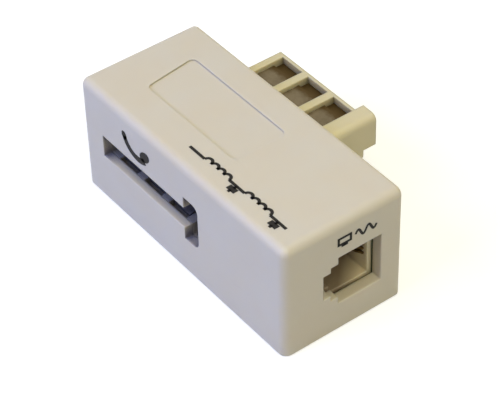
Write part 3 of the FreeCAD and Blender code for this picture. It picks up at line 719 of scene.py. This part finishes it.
class FILTER_OT_board(bpy.types.Operator):
    """Finish the board and the parts on it"""

    bl_idname = "filter_part.board"
    bl_label = "Board and parts"

    def execute(self, context):
        finish = finish_settings()
        dress("circuit_board", solder_mask("olive_solder_mask", tuple(finish.mask)))
        dress_all("film_capacitor", grained(
            "resin_filled_box", tuple(finish.box), 0.8, 0.32, 0.0, 1.25))
        for name in solids("resistor"):
            low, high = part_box(name)
            lacquer = banded_lacquer("banded_lacquer_" + name[-1], tuple(finish.lacquer),
                                     (low.x + high.x) / 2)
            dress(name, lacquer)
        dress_all("choke_core", grained(
            "sintered_ferrite", linear("#2C2C2F"), 0.35, 0.55, 0.0, 1.6))
        dress_all("choke_base", grained(
            "black_nylon_base", linear("#161616"), 0.3, 0.5, 0.0, 1.6))
        dress_all("choke_winding", bpy.data.materials["enamelled_copper_wire"])
        return {"FINISHED"}


def coil_tree():
    """Geometry nodes of a wound coil: close turns of round wire over the turns beneath."""
    tree = bpy.data.node_groups.new("wound_coil", "GeometryNodeTree")
    tree.interface.new_socket("Geometry", in_out="INPUT", socket_type="NodeSocketGeometry")
    for label in ("Outer radius", "Length", "Wire"):
        tree.interface.new_socket(label, in_out="INPUT", socket_type="NodeSocketFloat")
    tree.interface.new_socket("Material", in_out="INPUT", socket_type="NodeSocketMaterial")
    tree.interface.new_socket("Geometry", in_out="OUTPUT", socket_type="NodeSocketGeometry")
    given = node(tree, "NodeGroupInput")
    outer = given.outputs["Outer radius"]
    length = given.outputs["Length"]
    wire = given.outputs["Wire"]
    half_wire = maths(tree, "MULTIPLY", wire, 0.5)
    path_radius = maths(tree, "SUBTRACT", outer, half_wire)
    wound = maths(tree, "SUBTRACT", length, wire)
    spiral = node(tree, "GeometryNodeCurveSpiral", inputs={
        "Resolution": 20, "Rotations": maths(tree, "DIVIDE", wound, wire),
        "Start Radius": path_radius, "End Radius": path_radius, "Height": wound})
    section = node(tree, "GeometryNodeCurvePrimitiveCircle", inputs={
        "Resolution": 6, "Radius": half_wire})
    strand = node(tree, "GeometryNodeCurveToMesh", inputs={
        "Curve": spiral.outputs[0], "Profile Curve": section.outputs[0], "Fill Caps": True})
    lift = node(tree, "ShaderNodeCombineXYZ", inputs={"Z": half_wire})
    raised = node(tree, "GeometryNodeTransform", inputs={
        "Geometry": strand.outputs[0], "Translation": lift.outputs[0]})
    beneath = node(tree, "GeometryNodeMeshCylinder", inputs={
        "Vertices": 28, "Radius": path_radius, "Depth": length})
    middle = node(tree, "ShaderNodeCombineXYZ", inputs={
        "Z": maths(tree, "MULTIPLY", length, 0.5)})
    stood = node(tree, "GeometryNodeTransform", inputs={
        "Geometry": beneath.outputs["Mesh"], "Translation": middle.outputs[0]})
    joined = node(tree, "GeometryNodeJoinGeometry", inputs={0: raised.outputs[0]})
    tree.links.new(stood.outputs[0], joined.inputs[0])
    real = node(tree, "GeometryNodeRealizeInstances", inputs={0: joined.outputs[0]})
    painted = node(tree, "GeometryNodeSetMaterial", inputs={
        "Geometry": real.outputs[0], "Material": given.outputs["Material"]})
    node(tree, "NodeGroupOutput", inputs={0: painted.outputs[0]})
    return tree


def made_by_nodes(name, tree, values):
    """Run a geometry tree on an empty piece and keep the result as a plain mesh."""
    carrier = new_piece(name + "_carrier", bpy.data.meshes.new(name + "_carrier"))
    modifier = carrier.modifiers.new("shape", "NODES")
    modifier.node_group = tree
    for item in tree.interface.items_tree:
        if item.in_out == "INPUT" and item.name in values:
            modifier[item.identifier] = values[item.name]
    bpy.context.view_layer.update()
    evaluated = carrier.evaluated_get(bpy.context.evaluated_depsgraph_get())
    mesh = bpy.data.meshes.new_from_object(evaluated)
    mesh.name = name
    bpy.data.objects.remove(carrier)
    return mesh


class FILTER_OT_windings(bpy.types.Operator):
    """Wind the two chokes with turns of copper wire"""

    bl_idname = "filter_part.windings"
    bl_label = "Choke windings"

    def execute(self, context):
        tree = coil_tree()
        copper = bpy.data.materials["enamelled_copper_wire"]
        for name in solids("choke_winding"):
            low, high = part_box(name)
            mesh = made_by_nodes("wound_" + name[-1], tree, {
                "Outer radius": (high.x - low.x) / 2, "Length": high.y - low.y,
                "Wire": WIRE, "Material": copper})
            turn = rows_matrix((1, 0, 0), (0, 0, -1)).to_4x4()
            middle = (low + high) / 2
            mesh.transform(Matrix.Translation((middle.x, low.y, middle.z)) @ turn)
            piece = settle(new_piece("wound_coil_" + name[-1], mesh))
            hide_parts(name)
        return {"FINISHED"}


class FILTER_OT_handset_sign(bpy.types.Operator):
    """Print the handset sign above the T slot"""

    bl_idname = "filter_part.handset_sign"
    bl_label = "Handset sign"

    def execute(self, context):
        length = sign_settings().handset_length
        strokes = [(arc((0, 0), length * GRIP_RADIUS, GRIP_START, GRIP_END, 40),
                    even(length * GRIP_HALF_WIDTH))]
        for (across, up), long_half, short_half, slope in HANDSET_ENDS:
            strokes.append(oval((across * length, up * length), long_half * length,
                                short_half * length, slope))
        place = Vector((HANDSET_PLACE[0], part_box("outer_case")[0].y, HANDSET_PLACE[1]))
        printed_sign("handset_sign", strokes, rows_matrix((1, 0, 0), (0, 0, 1)), place)
        return {"FINISHED"}


class FILTER_OT_screen_sign(bpy.types.Operator):
    """Print the screen and wave sign above the modular jack"""

    bl_idname = "filter_part.screen_sign"
    bl_label = "Screen sign"

    def execute(self, context):
        settings = sign_settings()
        wide = settings.screen_width / 2
        high = settings.screen_height
        inset = settings.stroke / 2
        top = high - inset
        foot = high * SCREEN_FOOT
        stand = wide * STAND_WIDTH
        level = inset * STAND_LEVEL
        lines = [
            [(-wide, foot), (wide, foot)],
            [(-wide, top), (wide, top)],
            [(-wide + inset, foot), (-wide + inset, top)],
            [(wide - inset, foot), (wide - inset, top)],
            [(-stand, level), (stand, level)],
            [(0, 0), (0, foot)],
        ]
        wave = []
        for step in range(WAVE_STEPS + 1):
            share = step / WAVE_STEPS
            swing = WAVE_SWING * math.sin(share * WAVE_PERIODS * 2 * math.pi)
            wave.append((wide * WAVE_START + share * WAVE_LENGTH, high * (0.5 + swing)))
        lines.append(wave)
        strokes = [(line, even(inset)) for line in lines]
        place = Vector((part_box("outer_case")[1].x, *SCREEN_PLACE))
        printed_sign("screen_sign", strokes, rows_matrix((0, 1, 0), (0, 0, 1)), place)
        return {"FINISHED"}


class FILTER_OT_circuit_sign(bpy.types.Operator):
    """Print the circuit sign along the front edge of the top: line, coils and plates"""

    bl_idname = "filter_part.circuit_sign"
    bl_label = "Circuit sign"

    def execute(self, context):
        settings = sign_settings()
        long = settings.circuit_length
        tall = settings.circuit_height
        radius = tall * TURN_RADIUS
        lines = []
        ends = [0.0]
        for start in COIL_STARTS:
            left = long * start
            ends += [left, left + radius * 2 * COIL_TURNS]
            for number in range(COIL_TURNS):
                lines.append(arc((left + radius * (number * 2 + 1), 0), radius, 180, 0, 14))
        ends.append(long)
        lines += [[(left, 0), (right, 0)] for left, right in zip(ends[::2], ends[1::2])]
        upper, lower = (tall * level for level in PLATE_LEVELS)
        for left, right in zip(ends[2::2], ends[3::2]):
            middle = (left + right) / 2
            for level in (upper, lower):
                lines.append([(middle - tall / 2, level), (middle + tall / 2, level)])
            lines.append([(middle, 0), (middle, upper)])
            lines.append([(middle, lower), (middle, tall * LEAD_END)])
        strokes = [(line, even(settings.circuit_stroke / 2)) for line in lines]
        place = Vector((*CIRCUIT_PLACE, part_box("outer_case")[1].z))
        printed_sign("circuit_sign", strokes, rows_matrix((1, 0, 0), (0, 1, 0)), place)
        return {"FINISHED"}


class FILTER_OT_stage(bpy.types.Operator):
    """Set the floor, the lamps, the world and the camera"""

    bl_idname = "filter_part.stage"
    bl_label = "Stage"

    def execute(self, context):
        stage = stage_settings()
        self.make_floor(stage)
        self.make_world(context.scene, stage)
        for name, offset, hex_colour in LAMPS:
            self.make_lamp(name, offset, getattr(stage, name), hex_colour)
        self.make_camera(context.scene, stage)
        context.scene.view_settings.view_transform = "Standard"
        return {"FINISHED"}

    def make_floor(self, stage):
        half = stage.floor_size / 2
        mesh = bpy.data.meshes.new("floor")
        mesh.from_pydata([(-half, -half, 0), (half, -half, 0), (half, half, 0), (-half, half, 0)],
                         [], [(0, 1, 2, 3)])
        mesh.materials.append(studio_floor("matt_white_board"))
        new_piece("floor", mesh)

    def make_world(self, scene, stage):
        world = bpy.data.worlds.new("studio")
        world.use_nodes = True
        tree = world.node_tree
        tree.nodes.clear()
        even_light = node(tree, "ShaderNodeBackground", inputs={
            "Color": linear(SKY_LIGHT), "Strength": stage.sky})
        white = node(tree, "ShaderNodeBackground", inputs={
            "Color": (1, 1, 1, 1), "Strength": 1.0})
        both = node(tree, "ShaderNodeMixShader", inputs={
            0: looked_at(tree), 1: even_light.outputs[0], 2: white.outputs[0]})
        node(tree, "ShaderNodeOutputWorld", inputs={"Surface": both.outputs[0]})
        scene.world = world

    def make_lamp(self, name, offset, power, hex_colour):
        """A square soft box that looks at the middle of the case from an offset in metres."""
        light = bpy.data.lights.new(name, "AREA")
        light.shape = "SQUARE"
        light.size = LAMP_SIDE
        light.energy = power
        light.color = linear(hex_colour)[:3]
        lamp = new_piece(name, light)
        low, high = MODEL_BOX
        middle = Vector((0, 0, (low[2] + high[2]) / 2))
        lamp.location = middle + Vector(offset)
        lamp.rotation_mode = "QUATERNION"
        lamp.rotation_quaternion = (-Vector(offset)).to_track_quat("-Z", "Y")

    def make_camera(self, scene, stage):
        """Look at the case as the photograph does."""
        sight = Vector((-math.sin(stage.azimuth) * math.cos(stage.elevation),
                        math.cos(stage.azimuth) * math.cos(stage.elevation),
                        -math.sin(stage.elevation)))
        lens = bpy.data.cameras.new("camera")
        lens.sensor_fit = "HORIZONTAL"
        lens.sensor_width = SENSOR_WIDTH
        lens.lens = stage.lens
        lens.clip_start = CLIP_START
        camera = new_piece("camera", lens)
        camera.location = Vector(CAMERA_TARGET) - sight * stage.distance
        camera.rotation_mode = "QUATERNION"
        roll = Quaternion((0, 0, 1), stage.roll)
        camera.rotation_quaternion = sight.to_track_quat("-Z", "Y") @ roll
        scene.camera = camera


OPERATORS = (
    FILTER_OT_materials,
    FILTER_OT_case,
    FILTER_OT_socket,
    FILTER_OT_blades,
    FILTER_OT_jack,
    FILTER_OT_board,
    FILTER_OT_windings,
    FILTER_OT_handset_sign,
    FILTER_OT_screen_sign,
    FILTER_OT_circuit_sign,
    FILTER_OT_stage,
)


class FILTER_PT_panel(bpy.types.Panel):
    """Lists the filter's pieces and settings"""

    bl_idname = "FILTER_PT_panel"
    bl_label = "Line filter"
    bl_space_type = "VIEW_3D"
    bl_region_type = "UI"
    bl_category = "Line filter"

    def draw(self, context):
        layout = self.layout
        for operator in OPERATORS:
            layout.operator(operator.bl_idname)
        for settings in (finish_settings(), sign_settings(), stage_settings()):
            box = layout.box()
            for key in settings.bl_rna.properties.keys():
                if key not in ("rna_type", "name"):
                    box.prop(settings, key)


CLASSES = (FinishSettings, SignSettings, StageSettings, *OPERATORS, FILTER_PT_panel)


def register():
    for item in CLASSES:
        bpy.utils.register_class(item)
    bpy.types.Scene.filter_finish = bpy.props.PointerProperty(type=FinishSettings)
    bpy.types.Scene.filter_signs = bpy.props.PointerProperty(type=SignSettings)
    bpy.types.Scene.filter_stage = bpy.props.PointerProperty(type=StageSettings)


def unregister():
    del bpy.types.Scene.filter_stage
    del bpy.types.Scene.filter_signs
    del bpy.types.Scene.filter_finish
    for item in reversed(CLASSES):
        bpy.utils.unregister_class(item)


def main():
    register()
    for operator in OPERATORS:
        group, action = operator.bl_idname.split(".")
        getattr(getattr(bpy.ops, group), action)()


if __name__ == "__main__":
    main()
